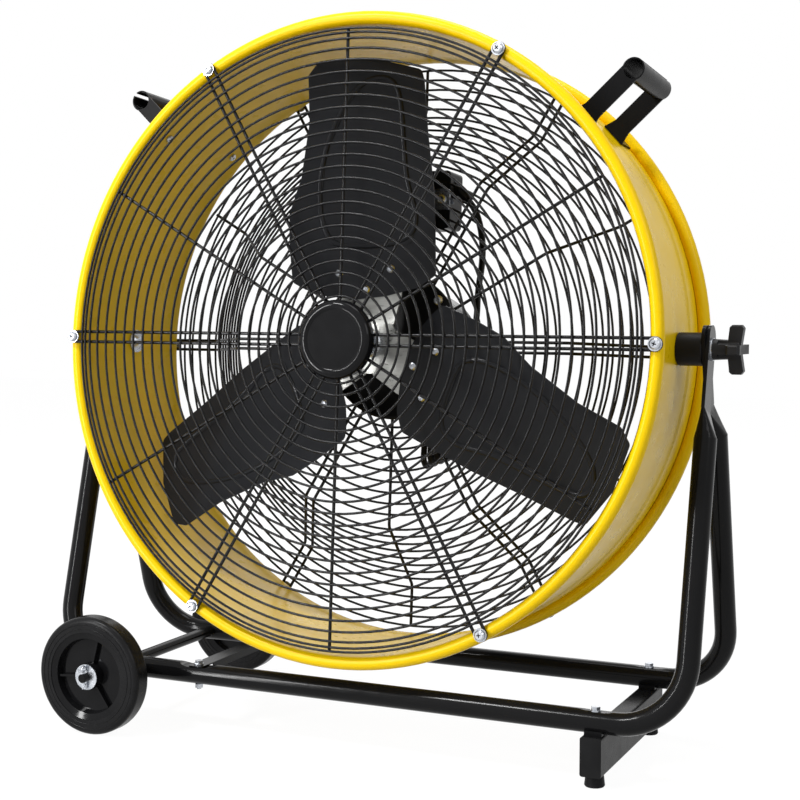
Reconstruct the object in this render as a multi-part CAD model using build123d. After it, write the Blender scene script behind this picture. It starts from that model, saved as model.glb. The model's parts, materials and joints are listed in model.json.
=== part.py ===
from build123d import *
import math
import os

# Drum fan: a tilting sheet-metal drum in a tube stand with two wheels and a rubber-shod foot.
# Millimetres. +X right seen from the front, +Y to the back, +Z up.
# The origin is on the floor, midway between the two pivots.
# Most of the fan is drawn in the drum's own frame: Y is the drum's axis, Z its upright.

# Stand
pivot_z = 519.0
tube_d = 28.0
tube_wall = 1.5
tube_z = 77.3
leg_x = 441.0
leg_spread = 118.0
bend_r = 80.0
ear_t = 4.4
ear_w = 32.0
ear_top = 30.0
ear_flat_end = 75.0
ear_loft_end = 110.0
foot_x = 335.0
foot_w = 26.5
foot_half = 135.0
foot_top = 62.5
foot_pad_h = 14.5
foot_pad_y = 120.0
brace_x = -220.0
frame_bolt_r = 3.0
axle_x = -341.0
axle_r = 6.0
wheel_r = 79.0
wheel_w = 30.0
wheel_y = 188.0
axle_z = wheel_r
tyre_in = 59.0

# Drum
drum_tilt = 4.2
drum_offset = -8.1
wall_r = 398.0
sheet = 1.6
bead_r = 8.5
bead_y = 113.8
swage_y = (58.0, 102.0)
swage_out = 2.0
bead_c = wall_r + bead_r
crest_y = bead_y + bead_r

# Guards
wire_d = 4.2
ring_d = 3.2
weld = 0.4
pair_off = 6.8
wire_in = 30.0
ring_pitch = 14.85
dish_r = (332.0, 246.0)
dish_y = 42.0
screw_angles = [60 * i for i in range(6)]
single_angles = [30 + 60 * i for i in range(6)]
cap_r = 50.0
cap_front = 142.0

# Rotor
blade_angles = (90, 210, 330)
blade_t = 1.4
hub_r = 19.0
shaft_r = 8.0

# Motor
motor_r = 80.0
plate_r = 100.0
motor_front = dish_y + wire_d / 2 + 0.1
motor_split = 125.0
motor_back = 165.0
motor_screw_r = 90.0
motor_screw_angles = (43, 163, 283)

# Switch box
box_x = (8.0, 72.0)
box_y = (50.0, 92.0)
box_z = (159.0, 237.0)
box_wall = 2.5

# Handles
handle_angles = (43.3, 136.7)
grip_r = 14.0
grip_c = 484.0
grip_half = 62.0
grip_seam = 5.0
handle_t = 2.5

# Cord
cord_d = 9.0
hank_loops = 6
hank_pitch = 10.2
hank_fold = 14.0
hank_run = 84.0
hank_longer = 4.0
hank_waist = 12.0
hank_y = 190.5
hank_top = -50.0

running = 0.06
drum_frame = Pos(0, 0, pivot_z) * Rot(-drum_tilt, 0, 0) * Pos(0, drum_offset, 0)


# Shared helpers

def turned(points):
    # A solid of revolution about Y from (radius, y) corners.
    return revolve(make_face(Polyline(*points, close=True)), Axis.Y)


def rod_y(radius, y0, y1, bore=0.0):
    return turned([(bore, y0), (radius, y0), (radius, y1), (bore, y1)])


def rod_x(radius, x0, x1, bore=0.0):
    return Rot(0, 0, -90) * rod_y(radius, x0, x1, bore)


def rod_z(radius, z0, z1, bore=0.0):
    return Rot(90, 0, 0) * rod_y(radius, z0, z1, bore)


def block(x, y, z):
    # A box between two coordinates on each axis.
    size = [b - a for a, b in (x, y, z)]
    middle = [(a + b) / 2 for a, b in (x, y, z)]
    return Pos(*middle) * Box(*size)


def spin(shape, angle):
    # Turns about the drum's axis, anticlockwise seen from the front.
    return Rot(0, -angle, 0) * shape


def around(shape, angles):
    return [spin(shape, a) for a in angles]


def at_radius(shape, radius, angle):
    return spin(Pos(radius, 0, 0) * shape, angle)


def swept(path, diameter):
    return sweep(Plane(path @ 0, z_dir=path % 0) * Circle(diameter / 2), path)


def pan_screw(y_seat, head_r, head_h, shank_r, length, toward=-1):
    # Head on the side `toward`, shank on the other.
    s = toward
    crown = head_h * 0.55
    return turned([
        (0, y_seat - s * length),
        (shank_r, y_seat - s * length),
        (shank_r, y_seat),
        (head_r, y_seat),
        (head_r, y_seat + s * crown),
        (head_r * 0.72, y_seat + s * head_h),
        (0, y_seat + s * head_h),
    ])


def hexagon(across, height):
    return extrude(RegularPolygon(across / 2, 6, major_radius=False), height)


# Drum

def curl():
    # The rolled edge: a strip bent three quarters round, open where it comes back to the wall.
    ring = Circle(bead_r) - Circle(bead_r - sheet)
    reach = 3 * bead_r
    corners = [(0, 0)]
    corners += [(reach * math.cos(math.radians(a)), reach * math.sin(math.radians(a))) for a in (180, 201, 222)]
    return ring - make_face(Polyline(*corners, close=True))


def drum_shell():
    y0, y1 = swage_y
    inner = [
        (wall_r, -bead_y),
        (wall_r, y0),
        (wall_r + swage_out, y0 + 4),
        (wall_r + swage_out, y1 - 4),
        (wall_r, y1),
        (wall_r, bead_y),
    ]
    outer = [(r + sheet, y) for r, y in reversed(inner)]
    rear = Pos(bead_c, bead_y) * curl()
    profile = make_face(Polyline(*inner, *outer, close=True)) + rear + mirror(rear, Plane.XZ)
    shell = revolve(profile, Axis.Y)
    for y in (-crest_y, crest_y):
        for a in screw_angles:
            shell -= at_radius(rod_y(3.0, y - 5, y + 5), bead_c, a)
    for a in handle_angles:
        for y in (-handle_screw_y, handle_screw_y):
            shell -= spin(Pos(0, y, 0) * rod_x(3.2, wall_r - 5, wall_r + 8), a)
    for side in (-1, 1):
        shell -= Pos(side * wall_r, -drum_offset, 0) * rod_x(5.3, -8, 8)
    return shell


# Guards

def ring(radius, y):
    return Pos(0, y, 0) * Rot(90, 0, 0) * Torus(radius, ring_d / 2)


ring_lift = (wire_d + ring_d) / 2 - weld
guard_y = crest_y + wire_d / 2 + 0.05


def front_guard_rim():
    return [ring(r, -guard_y - ring_lift) for r in (391.0, 386.0, 378.5, 366.0)]


def front_guard_rings():
    field = [352.0 - ring_pitch * i for i in range(20)]
    return [ring(r, -guard_y - ring_lift) for r in field + [55.0]]


def hairpin(leg):
    # Two parallel legs joined by a half turn round the screw.
    start = leg @ 1
    turn = ThreePointArc(start, (bead_c + pair_off, start.Y, 0), (start.X, start.Y, -start.Z))
    return swept(leg + turn + mirror(leg, Plane.XY), wire_d)


def front_guard_wires():
    leg = Line((wire_in, -guard_y, pair_off), (bead_c, -guard_y, pair_off))
    single = Line((wire_in, -guard_y, 0), (391.0, -guard_y, 0))
    return around(hairpin(leg), screw_angles) + around(swept(single, wire_d), single_angles)


def dish_path(r_in, r_out, off):
    # Flat at the rim, a slope forward to the middle, flat again round the motor.
    return FilletPolyline(
        (r_in, dish_y, off),
        (dish_r[1], dish_y, off),
        (dish_r[0], guard_y, off),
        (r_out, guard_y, off),
        radius=12,
    )


def rear_guard_wires():
    leg = dish_path(wire_in + 30, bead_c, pair_off)
    single = dish_path(wire_in + 30, 391.0, 0)
    return around(hairpin(leg), screw_angles) + around(swept(single, wire_d), single_angles)


def rear_guard_rings():
    rim = [ring(391.0 - 13.6 * i, guard_y + ring_lift) for i in range(5)]
    slope_r = dish_r[0] - dish_r[1]
    slope_y = guard_y - dish_y
    slope = math.hypot(slope_r, slope_y)
    steps = 8
    sloped = []
    for i in range(steps):
        u = (i + 0.6) / (steps + 0.2)
        r = dish_r[0] - slope_r * u - ring_lift * slope_y / slope
        y = guard_y - slope_y * u + ring_lift * slope_r / slope
        sloped.append(ring(r, y))
    middle = [ring(229.6 - ring_pitch * i, dish_y + ring_lift) for i in range(9)]
    return rim + sloped + middle


washer_t = 1.2


def guard_washer():
    return rod_y(8.5, guard_y + wire_d / 2 + 0.05, guard_y + wire_d / 2 + 0.05 + washer_t, bore=2.7)


def guard_screw():
    return pan_screw(guard_y + wire_d / 2 + 0.1 + washer_t, 6.5, 4.4, 2.5, 16, toward=1)


def both_guards(shape):
    rear = [at_radius(shape, bead_c, a) for a in screw_angles]
    return [mirror(s, Plane.XZ) for s in rear], rear


def badge():
    # A bare domed cap with a raised rim round a sunk disc, and a boss for its screw.
    seat = -guard_y - wire_d / 2 - 0.05
    face = -cap_front + 1.8
    outline = Line((5, seat + 2), (5, face + 2.2))
    outline += Line((5, face + 2.2), (45, face + 2.2))
    outline += ThreePointArc((45, face + 2.2), (47.2, face + 3.2), (48, face + 5.5))
    outline += Line((48, face + 5.5), (48, seat))
    outline += Line((48, seat), (cap_r, seat))
    outline += Line((cap_r, seat), (cap_r, face + 6))
    outline += ThreePointArc((cap_r, face + 6), (46.5, -cap_front + 1.6), (41.5, -cap_front))
    outline += ThreePointArc((41.5, -cap_front), (38.6, -cap_front + 0.4), (36.5, face))
    outline += Line((36.5, face), (0, face))
    outline += Line((0, face), (0, face + 8))
    outline += Line((0, face + 8), (2, face + 8))
    outline += Line((2, face + 8), (2, seat + 2))
    outline += Line((2, seat + 2), (5, seat + 2))
    return revolve(make_face(outline), Axis.Y)


badge_plate_y = -guard_y + wire_d / 2 + 0.05


def badge_plate():
    return turned([
        (2.3, badge_plate_y + 3.2),
        (14, badge_plate_y + 3.2),
        (18, badge_plate_y),
        (45, badge_plate_y),
        (45, badge_plate_y + 1.5),
        (18.5, badge_plate_y + 1.5),
        (14.5, badge_plate_y + 4.7),
        (2.3, badge_plate_y + 4.7),
    ])


def badge_screw():
    return pan_screw(badge_plate_y + 4.8, 4.2, 2.6, 1.9, 14, toward=1)


# Rotor

def blade_line(z, x):
    # Height y of the blade's front face: pitched, and twisted more towards the tip.
    w = (z - 95) / 270
    root = -38.6 + 0.309 * (x + 8.7)
    tip = -29.6 + 0.41 * (x + 18.5)
    return (1 - w) * root + w * tip


def pitched_section(z, x0, x1, lift, thick):
    corners = [(x0, lift), (x1, lift), (x1, lift + thick), (x0, lift + thick)]
    points = [(x, blade_line(z, x) + dy, z) for x, dy in corners]
    return make_face(Polyline(*points, close=True))


def pitched_plate(z0, z1, x0, x1, lift, thick):
    return loft([pitched_section(z, x0, x1, lift, thick) for z in (z0, z1)], ruled=True)


def along_y(face):
    # Pushes a face drawn as (x, z) through the whole depth of the drum.
    return extrude(Plane.XZ * face, 150, both=True)


blade_outline = [
    (-90.5, 351.5), (-86.8, 289.6), (-94.1, 216.3), (-107.8, 167.5), (-106.2, 127.0), (-100.4, 77.3),
    (-84.2, 68.5), (-56.8, 59.9), (-17.0, 56.9), (18.4, 61.7), (58.9, 73.6), (80.7, 90.8),
    (76.9, 144.6), (72.4, 198.7), (60.0, 279.3), (51.8, 348.5), (47.3, 363.3), (-12.8, 376.8),
    (-77.8, 370.9),
]
bead_outline = [
    (-57, 128), (-73, 174), (-70, 249), (-47, 312), (-26, 345), (1, 354), (19, 343.5), (26, 306),
    (31, 252), (38, 203), (54, 171), (48, 130), (-26, 126),
]
rivet_spots = [(99.8, 114.3), (100.8, 76.4), (70.2, 95.3)]


def rounded(points, radius):
    return make_face(FilletPolyline(*points, radius=radius, close=True))


def rivet_xz(spot):
    r, a = spot
    return r * math.cos(math.radians(a)), r * math.sin(math.radians(a))


def rivet_place(spot):
    # Stands the rivet's axis square to the blade's face at its spot.
    x, z = rivet_xz(spot)
    slope_x = blade_line(z, x + 0.5) - blade_line(z, x - 0.5)
    slope_z = blade_line(z + 0.5, x) - blade_line(z - 0.5, x)
    face = Plane(origin=(x, blade_line(z, x), z), z_dir=(-slope_x, 1, -slope_z))
    return face.location * Rot(90, 0, 0)


def rivet_hole(spot):
    return rivet_place(spot) * rod_y(2.5, -12, 12)


def blade():
    plate = pitched_plate(45, 390, -125, 100, 0, blade_t)
    body = plate & along_y(rounded(blade_outline, 7.5))
    band = rounded(bead_outline, 9) - offset(rounded(bead_outline, 9), -5.5)
    bead = pitched_plate(100, 365, -90, 70, -1.3, 1.5) & along_y(band)
    body = body + bead
    for spot in rivet_spots:
        body -= rivet_hole(spot)
    return body


def rivet(spot):
    # Domed front head, shank, and a flat formed head behind the arm.
    seat = -0.1
    back = blade_t + spider_t + 0.2
    return rivet_place(spot) * turned([
        (0, seat - 2.2), (3.4, seat - 1.8), (5.2, seat), (2.4, seat), (2.4, back),
        (4.6, back), (4.6, back + 1.6), (0, back + 1.6),
    ])


spider_t = 3.0
spider_y = -35.0


def spider_arm():
    # Flat at the boss, turning into the blade's pitch, then out behind the blade's root.
    lift = blade_t + 0.05
    flat = make_face(Polyline(
        (-34, spider_y, 25), (34, spider_y, 25),
        (34, spider_y + spider_t, 25), (-34, spider_y + spider_t, 25), close=True))
    turn = loft([flat, pitched_section(60, -42, 42, lift, spider_t)], ruled=True)
    pad = pitched_plate(60, 116, -42, 42, lift, spider_t)
    outline = rounded([(-30, 0), (-38, 62), (-39, 112), (-12, 118), (14, 118), (38, 108), (38, 62), (30, 0)], 9)
    arm = (turn + pad) & along_y(outline)
    for spot in rivet_spots:
        arm -= rivet_hole(spot)
    return arm


def spider():
    body = rod_y(40, spider_y, spider_y + spider_t)
    for arm in around(spider_arm(), [a - 90 for a in blade_angles]):
        body += arm
    return body - rod_y(shaft_r + 0.05, -60, 20)


def hub():
    # Clamping boss with a collar, bored for the shaft, and a flat for its set screw.
    body = turned([
        (shaft_r, spider_y - 10), (hub_r - 2, spider_y - 10), (hub_r, spider_y - 8), (hub_r, spider_y - 0.05),
        (shaft_r, spider_y - 0.05),
    ])
    back = rod_y(hub_r + 3, spider_y + spider_t + 0.05, spider_y + 24, bore=shaft_r)
    return [body, back]


def motor_shaft():
    # A flat runs along the front end for the set screw.
    shaft = turned([
        (0, -56), (shaft_r - 1, -56), (shaft_r, -55), (shaft_r, 157), (shaft_r - 1, 158), (0, 158),
    ])
    return shaft - block((-10, 10), (-60, -46), (shaft_r - 1.2, 12))


# Motor

stator_y = (64.0, 114.0)
bearing_r = 20.0
bearing_w = 12.0
front_bearing = motor_front + 4.0
rear_bearing = motor_back - 19.0


def motor_housing():
    # A drawn can with a flange that clamps the guard's wires against the front plate.
    body = turned([
        (shaft_r + 2, motor_front),
        (plate_r - 3, motor_front),
        (plate_r - 3, motor_front + 3),
        (motor_r, motor_front + 3),
        (motor_r, motor_split),
        (motor_r - 3, motor_split),
        (motor_r - 3, motor_front + 4),
        (bearing_r + 4, motor_front + 4),
        (bearing_r + 4, front_bearing + bearing_w),
        (bearing_r, front_bearing + bearing_w),
        (bearing_r, front_bearing),
        (shaft_r + 2, front_bearing),
    ])
    for a in motor_screw_angles:
        body -= at_radius(rod_y(3.2, motor_front - 5, motor_front + 8), motor_screw_r, a)
    return body


def motor_rear_cover():
    # The end bell: rounded edge, bearing seat, and a ring of vent slots.
    y1 = motor_back
    outline = Line((0, y1), (motor_r - 14, y1))
    outline += ThreePointArc((motor_r - 14, y1), (motor_r - 4, y1 - 4.5), (motor_r, y1 - 14))
    outline += Line((motor_r, y1 - 14), (motor_r, motor_split + 0.1))
    outline += Line((motor_r, motor_split + 0.1), (motor_r - 3, motor_split + 0.1))
    outline += Line((motor_r - 3, motor_split + 0.1), (motor_r - 3, y1 - 14))
    outline += ThreePointArc((motor_r - 3, y1 - 14), (motor_r - 6.5, y1 - 6.8), (motor_r - 14, y1 - 3))
    outline += Line((motor_r - 14, y1 - 3), (bearing_r + 4, y1 - 3))
    outline += Line((bearing_r + 4, y1 - 3), (bearing_r + 4, rear_bearing))
    outline += Line((bearing_r + 4, rear_bearing), (bearing_r, rear_bearing))
    outline += Line((bearing_r, rear_bearing), (bearing_r, rear_bearing + bearing_w))
    outline += Line((bearing_r, rear_bearing + bearing_w), (0, rear_bearing + bearing_w))
    outline += Line((0, rear_bearing + bearing_w), (0, y1))
    body = revolve(make_face(outline), Axis.Y)
    slot = Pos(48, y1, 0) * Rot(-90, 0, 0) * extrude(SlotOverall(34, 6), 8, both=True)
    for s in around(slot, [30 * i for i in range(12)]):
        body -= s
    return body


def motor_front_plate():
    y1 = dish_y - wire_d / 2 - 0.05
    body = turned([
        (shaft_r + 6, y1 - 2.5), (62, y1 - 2.5), (66, y1 - 4.5), (plate_r - 6, y1 - 4.5), (plate_r - 2, y1 - 3.5),
        (plate_r, y1 - 1.5), (plate_r, y1), (shaft_r + 6, y1),
    ])
    for a in motor_screw_angles:
        body -= at_radius(rod_y(3.2, y1 - 8, y1 + 3), motor_screw_r, a)
    return body


def motor_screws():
    seat = dish_y - wire_d / 2 - 0.05 - 4.55
    screw = pan_screw(seat, 6.5, 4.2, 2.9, 22, toward=-1)
    nut = Pos(0, motor_front + 3.1, 0) * Rot(-90, 0, 0) * hexagon(10, 5) - rod_y(2.95, 0, 90)
    return [at_radius(s, motor_screw_r, a) for s in (screw, nut) for a in motor_screw_angles]


def motor_stator():
    # Laminated ring with slots towards the core, and the two winding heads.
    y0, y1 = stator_y
    body = rod_y(motor_r - 3, y0, y1, bore=50)
    slot = block((49, 62), (y0 - 1, y1 + 1), (-3, 3))
    for s in around(slot, [15 * i for i in range(24)]):
        body -= s
    heads = [rod_y(70, y0 - 9, y0, bore=56), rod_y(70, y1, y1 + 9, bore=56)]
    return body + heads[0] + heads[1]


def motor_core():
    return rod_y(49.4, stator_y[0], stator_y[1], bore=shaft_r)


def motor_bearings():
    rings = []
    for y in (front_bearing, rear_bearing):
        rings.append(rod_y(bearing_r, y, y + bearing_w, bore=shaft_r + running))
    return rings


# Switch box

def rounded_block(x, y, z, radius):
    # Upright edges along Y rounded.
    body = block(x, y, z)
    return fillet(body.edges().filter_by(Axis.Y), radius)


def switch_box():
    x, y, z = box_x, box_y, box_z
    w = box_wall
    body = rounded_block(x, (y[0], y[1] - 5), z, 6)
    hollow = rounded_block((x[0] + w, x[1] - w), (y[0] + w, y[1]), (z[0] + w, z[1] - w), 4)
    body -= hollow
    body -= Pos(x[1], lead_y, lead_z) * rod_x(7.05, -6, 6)
    body -= Pos(conduit_x, conduit_y, z[0]) * rod_z(6.05, -6, 6)
    body -= Pos(clip_x, y[0], clip_z) * rod_y(2.6, -4, 4)
    return body


def switch_cover():
    x, y, z = box_x, box_y, box_z
    body = rounded_block(x, (y[1] - 4.95, y[1]), z, 6)
    body = fillet(body.faces().sort_by(Axis.Y)[-1].edges(), 1.5)
    body -= Pos(knob_x, y[1], knob_z) * rod_y(4.0, -8, 4)
    for cx, cz in cover_screw_spots():
        body -= Pos(cx, y[1], cz) * rod_y(1.8, -8, 4)
    return body


def cover_screw_spots():
    inset = 7.0
    return [(cx, cz) for cx in (box_x[0] + inset, box_x[1] - inset) for cz in (box_z[0] + inset, box_z[1] - inset)]


def cover_screws():
    screw = pan_screw(box_y[1] + 0.05, 3.2, 2.2, 1.6, 9, toward=1)
    return [Pos(cx, 0, cz) * screw for cx, cz in cover_screw_spots()]


def speed_switch():
    # The rotary switch inside, with its threaded neck through the cover.
    body = Pos(knob_x, 0, knob_z) * block((-15, 15), (box_y[1] - 27, box_y[1] - 5.05), (-15, 15))
    neck = Pos(knob_x, 0, knob_z) * rod_y(3.9, box_y[1] - 5.1, box_y[1] + 2)
    stem = Pos(knob_x, 0, knob_z) * rod_y(3.0, box_y[1] + 1, box_y[1] + 13)
    return body + neck + stem


def speed_knob():
    # A skirted dial with a grip bar across it and a pointer groove.
    y = box_y[1] + 2.3
    skirt = turned([(4.2, y), (16, y), (15, y + 5), (4.2, y + 5)])
    crown = turned([(3.06, y + 3), (11, y + 3), (10, y + 13), (3.06, y + 13)])
    bar = block((-4, 4), (y + 3, y + 17), (-14, 14))
    bar &= turned([(0, y), (14.6, y), (13.2, y + 17), (0, y + 17)])
    knob = skirt + crown + bar - rod_y(3.06, y - 1, y + 11)
    knob -= block((-0.8, 0.8), (y + 16, y + 20), (4, 20))
    return Pos(knob_x, 0, knob_z) * knob


def run_capacitor():
    x = (box_x[0] + 9, box_x[1] - 11)
    y = (box_y[0] + 4, box_y[0] + 24)
    z = (box_z[1] - 40, box_z[1] - 12)
    return rounded_block(x, y, z, 3)


def switch_clip():
    # A bent strap: it lies on the box, passes between two rings and lies on the guard's wires.
    back = block((clip_x - 11, clip_x + 11), (box_y[0] - 2.6, box_y[0] - 0.05), (clip_z - 5, clip_z + 5))
    front = block((clip_x - 11, clip_x + 11), (34.6, 36.6), (clip_z - 14, clip_z + 14))
    neck = block((clip_x - 4.2, clip_x + 4.2), (36, box_y[0] - 1), (clip_z - 4.2, clip_z + 4.2))
    strap = back + fillet(front.edges().filter_by(Axis.Y), 4) + neck
    return strap - Pos(clip_x, 0, clip_z) * rod_y(2.6, 30, 60)


def clip_screw():
    return Pos(clip_x, 0, clip_z) * pan_screw(34.5, 5.5, 3.8, 2.5, 26, toward=-1)


def wiring_conduit():
    tube = Pos(conduit_x, conduit_y, 0) * rod_z(6, 60, box_z[0] + 4, bore=4)
    return tube - rod_y(motor_r + 0.1, 40, 130)


clip_x = 66.5
clip_z = 196.4
conduit_x = 20.0
conduit_y = 74.0
knob_x = 40.0
knob_z = 181.0
lead_y = 72.0
lead_z = 215.0


# Handles

handle_screw_y = 84.0


def handle_foot(side):
    # A strap with a splayed foot, and the flange turned outward from it, curved to the drum.
    base = handle_base(side)
    strap = make_face(Polyline(
        (base, -17), (base + 16, -12.5), (grip_c, -12.5), (grip_c, 12.5), (base + 16, 12.5), (base, 17), close=True))
    y0, y1 = grip_half - handle_t, grip_half + 34
    leg = extrude(Plane.XZ.offset(-y0) * strap, -handle_t)
    half_arc = math.degrees(math.asin(17 / base))
    section = make_face(Polyline((base, y0), (base + handle_t, y0), (base + handle_t, y1), (base, y1), close=True))
    flange = spin(revolve(section, Axis.Y, revolution_arc=2 * half_arc), half_arc)
    foot = leg + flange - Pos(0, handle_screw_y, 0) * rod_x(3.0, base - 3, base + 6)
    return foot if side > 0 else mirror(foot, Plane.XZ)


def handle_base(side):
    # The rear foot lies on the swage, the front one on the plain wall.
    return wall_r + sheet + 0.1 + (swage_out if side > 0 else 0)


def handle():
    # Two straps from the drum up to a grip rolled from the same sheet, open at its ends and along its seam.
    bore = grip_r - 1.8
    grip = Pos(grip_c, 0, 0) * rod_y(grip_r, -grip_half, grip_half, bore=bore)
    body = grip + handle_foot(-1) + handle_foot(1)
    body -= Pos(grip_c, 0, 0) * rod_y(bore, -grip_half - 5, grip_half + 5)
    seam = (grip_c + bore - 3, grip_c + grip_r + 1)
    return body - block(seam, (-grip_half - 1, grip_half + 1), (-grip_seam / 2, grip_seam / 2))


def handle_screws():
    # Pan heads inside the drum, nuts on the flanges.
    screws = []
    for side in (-1, 1):
        inside = wall_r - 0.3 + (swage_out if side > 0 else 0)
        screw = Rot(0, 0, -90) * pan_screw(inside, 5.5, 3.4, 2.5, 14, toward=-1)
        nut = Pos(handle_base(side) + handle_t + 0.2, 0, 0) * Rot(0, 90, 0) * hexagon(8, 4)
        screws += [Pos(0, side * handle_screw_y, 0) * s for s in (screw, nut - rod_x(2.55, 0, 500))]
    return screws


# Pivots, drawn for the right side along +X through the pivot line

pivot_line = Pos(0, 0, pivot_z)
spacer_in = wall_r + sheet + 0.3
spacer_out = leg_x - 2 * ear_t - 0.2
spacer_r = 20.5
bolt_r = 5.0


def pivot_spacer():
    # A thick bush between the drum and the stand's ears, its rims broken.
    return Rot(0, 0, -90) * turned([
        (bolt_r + 0.3, spacer_in), (spacer_r - 1, spacer_in), (spacer_r, spacer_in + 1), (spacer_r, spacer_out - 1),
        (spacer_r - 1, spacer_out), (bolt_r + 0.3, spacer_out),
    ])


def pivot_backing():
    return rod_x(16, wall_r - 3.1, wall_r - 0.6, bore=bolt_r + 0.3)


def pivot_bolt():
    x0 = wall_r - 3.2
    return Rot(0, 0, -90) * turned([
        (0, x0 - 5.5), (6, x0 - 4.6), (10.5, x0), (bolt_r, x0), (bolt_r, leg_x + 30), (0, leg_x + 30),
    ])


def ear_washer():
    return rod_x(14, leg_x + 0.1, leg_x + 2.1, bore=bolt_r + 0.3)


def tilt_knob():
    # Cross-shaped hand knob: a fluted stem and four arms that lean outward, with bevelled ends.
    x0 = leg_x + 2.2
    stem = Rot(0, 0, -90) * turned([
        (bolt_r + running, x0), (13, x0), (12, x0 + 18), (12, x0 + 30), (9, x0 + 33), (bolt_r + running, x0 + 33),
    ])
    side = make_face(Polyline(
        (x0 + 17, 0), (x0 + 20, 27), (x0 + 23, 30), (x0 + 34, 30), (x0 + 37, 26), (x0 + 33, 0), close=True))
    arm = extrude(Plane.XZ * side, 5.8, both=True)
    tip = arm.faces().sort_by(Axis.Z)[-1]
    arm = chamfer(tip.edges().filter_by(Axis.X), 1.5)
    knob = stem
    for i in range(4):
        knob += Rot(90 * i, 0, 0) * arm
    for i in range(4):
        knob -= Rot(45 + 90 * i, 0, 0) * Pos(0, 0, 14) * rod_x(4, x0 + 6, x0 + 40)
    return knob - rod_x(bolt_r + running, x0 - 1, leg_x + 31)


def both_sides(shape):
    return mirror(shape, Plane.YZ), shape


# Stand

drop = pivot_z - tube_z
leg_len = math.hypot(drop, leg_spread)
lean = math.degrees(math.atan(leg_spread / drop))


def flattened_section(z, across, thick, x):
    # A stadium across the leg: `across` wide along Y, `thick` along X.
    slot = SlotOverall(across, thick) if across > thick + 0.05 else SlotOverall(thick + 0.1, thick)
    return Plane(origin=(x, 0, z), x_dir=(0, 1, 0), z_dir=(0, 0, 1)) * slot


def leg_top(ear_x):
    # Round tube pressed flat, ending in a rounded ear with the pivot hole.
    steps = [
        flattened_section(-ear_loft_end, tube_d, tube_d, leg_x),
        flattened_section(-(ear_loft_end + ear_flat_end) / 2, 28.5, 15.5, (leg_x + ear_x) / 2),
        flattened_section(-ear_flat_end, ear_w, ear_t, ear_x),
    ]
    neck = loft(steps)
    flat = block((ear_x - ear_t / 2, ear_x + ear_t / 2), (-ear_w / 2, ear_w / 2), (-ear_flat_end, 0))
    tip = Pos(ear_x, 0, 0) * Rot(0, 90, 0) * Cylinder(ear_w / 2, ear_t)
    lift = block((ear_x - ear_t / 2, ear_x + ear_t / 2), (-ear_w / 2, ear_w / 2), (0, ear_top - ear_w / 2))
    ear = flat + lift + Pos(0, 0, ear_top - ear_w / 2) * tip
    return neck + ear - rod_x(bolt_r + 0.08, ear_x - 10, ear_x + 10)


def dent(x, y, z):
    # The tube is pressed flat round each bolt, with a rounded run-out at both ends.
    half = 11.0
    ends = [Pos(x + s * half, y, z + 40) * rod_y(40, -20, 20) for s in (-1, 1)]
    return block((x - half, x + half), (y - 20, y + 20), (z, z + 40)) + ends[0] + ends[1]


def u_path():
    # Drawn upright in its own plane, hanging from the pivot line.
    return FilletPolyline(
        (-leg_x, 0, -ear_loft_end),
        (-leg_x, 0, -leg_len),
        (leg_x, 0, -leg_len),
        (leg_x, 0, -ear_loft_end),
        radius=bend_r,
    )


def u_round(radius, bore=0.0):
    path = u_path()
    section = Circle(radius) - Circle(bore) if bore else Circle(radius)
    return sweep(Plane(path @ 0, z_dir=path % 0) * section, path)


def hung(shape, side):
    # side -1 is the front tube, +1 the rear one.
    return pivot_line * Rot(side * lean, 0, 0) * shape


def stand_tube(side):
    # Pressed solid and flat round the bolts, drilled for the bolts and the axle.
    ear_x = leg_x - ear_t / 2 - (0 if side < 0 else ear_t + 0.1)
    r_in = tube_d / 2 - tube_wall
    top = leg_top(ear_x)
    tube = hung(u_round(tube_d / 2, r_in) + top + mirror(top, Plane.YZ), side)
    core = hung(u_round(r_in + 0.05), side)
    y = side * leg_spread
    for x, z in ((brace_x, brace_dent_z), (foot_x, foot_dent_z)):
        tube += core & block((x - 40, x + 40), (y - 20, y + 20), (0, 150))
        tube -= dent(x, y, z)
        tube -= Pos(x, y, tube_z) * rod_z(frame_bolt_r + 0.2, -20, 20)
    return tube - Pos(axle_x, y, axle_z) * rod_y(axle_r + 0.1, -30, 30)


brace_dent_z = tube_z + tube_d / 2 - 4.2
foot_dent_z = brace_dent_z + 3.0
brace_w = 22.0
brace_h = 10.0


def foot_channel():
    # Box section on edge with two pressed saddles that the tubes lie in.
    h = foot_top - foot_pad_h
    section = RectangleRounded(foot_w, h, 3) - RectangleRounded(foot_w - 4, h - 4, 1.5)
    z_mid = foot_pad_h + h / 2
    body = Pos(foot_x, 0, z_mid) * extrude(Plane.XZ * section, foot_half, both=True)
    for side in (-1, 1):
        y = side * leg_spread
        saddle = block((foot_x - 11, foot_x + 11), (y - 11, y + 11), (foot_top - 0.5, foot_top + 5.5))
        body += saddle - hung(u_round(tube_d / 2 + 0.05), side)
        body -= Pos(foot_x, y, 0) * rod_z(frame_bolt_r + 0.2, 40, 80)
    for y in (-foot_pad_y, foot_pad_y):
        body -= Pos(foot_x, y, 0) * rod_z(3.2, 8, 20)
    return body


def foot_end_caps():
    h = foot_top - foot_pad_h
    z_mid = foot_pad_h + h / 2
    plate = Pos(foot_x, 0, z_mid) * extrude(Plane.XZ * RectangleRounded(foot_w, h, 3), 1.5, both=True)
    plug = Pos(foot_x, 0, z_mid) * extrude(Plane.XZ * RectangleRounded(foot_w - 4.3, h - 4.3, 1.5), 2, both=True)
    front = Pos(0, -foot_half - 1.6, 0) * plate + Pos(0, -foot_half + 1.5, 0) * plug
    return [front, mirror(front, Plane.XZ)]


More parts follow.
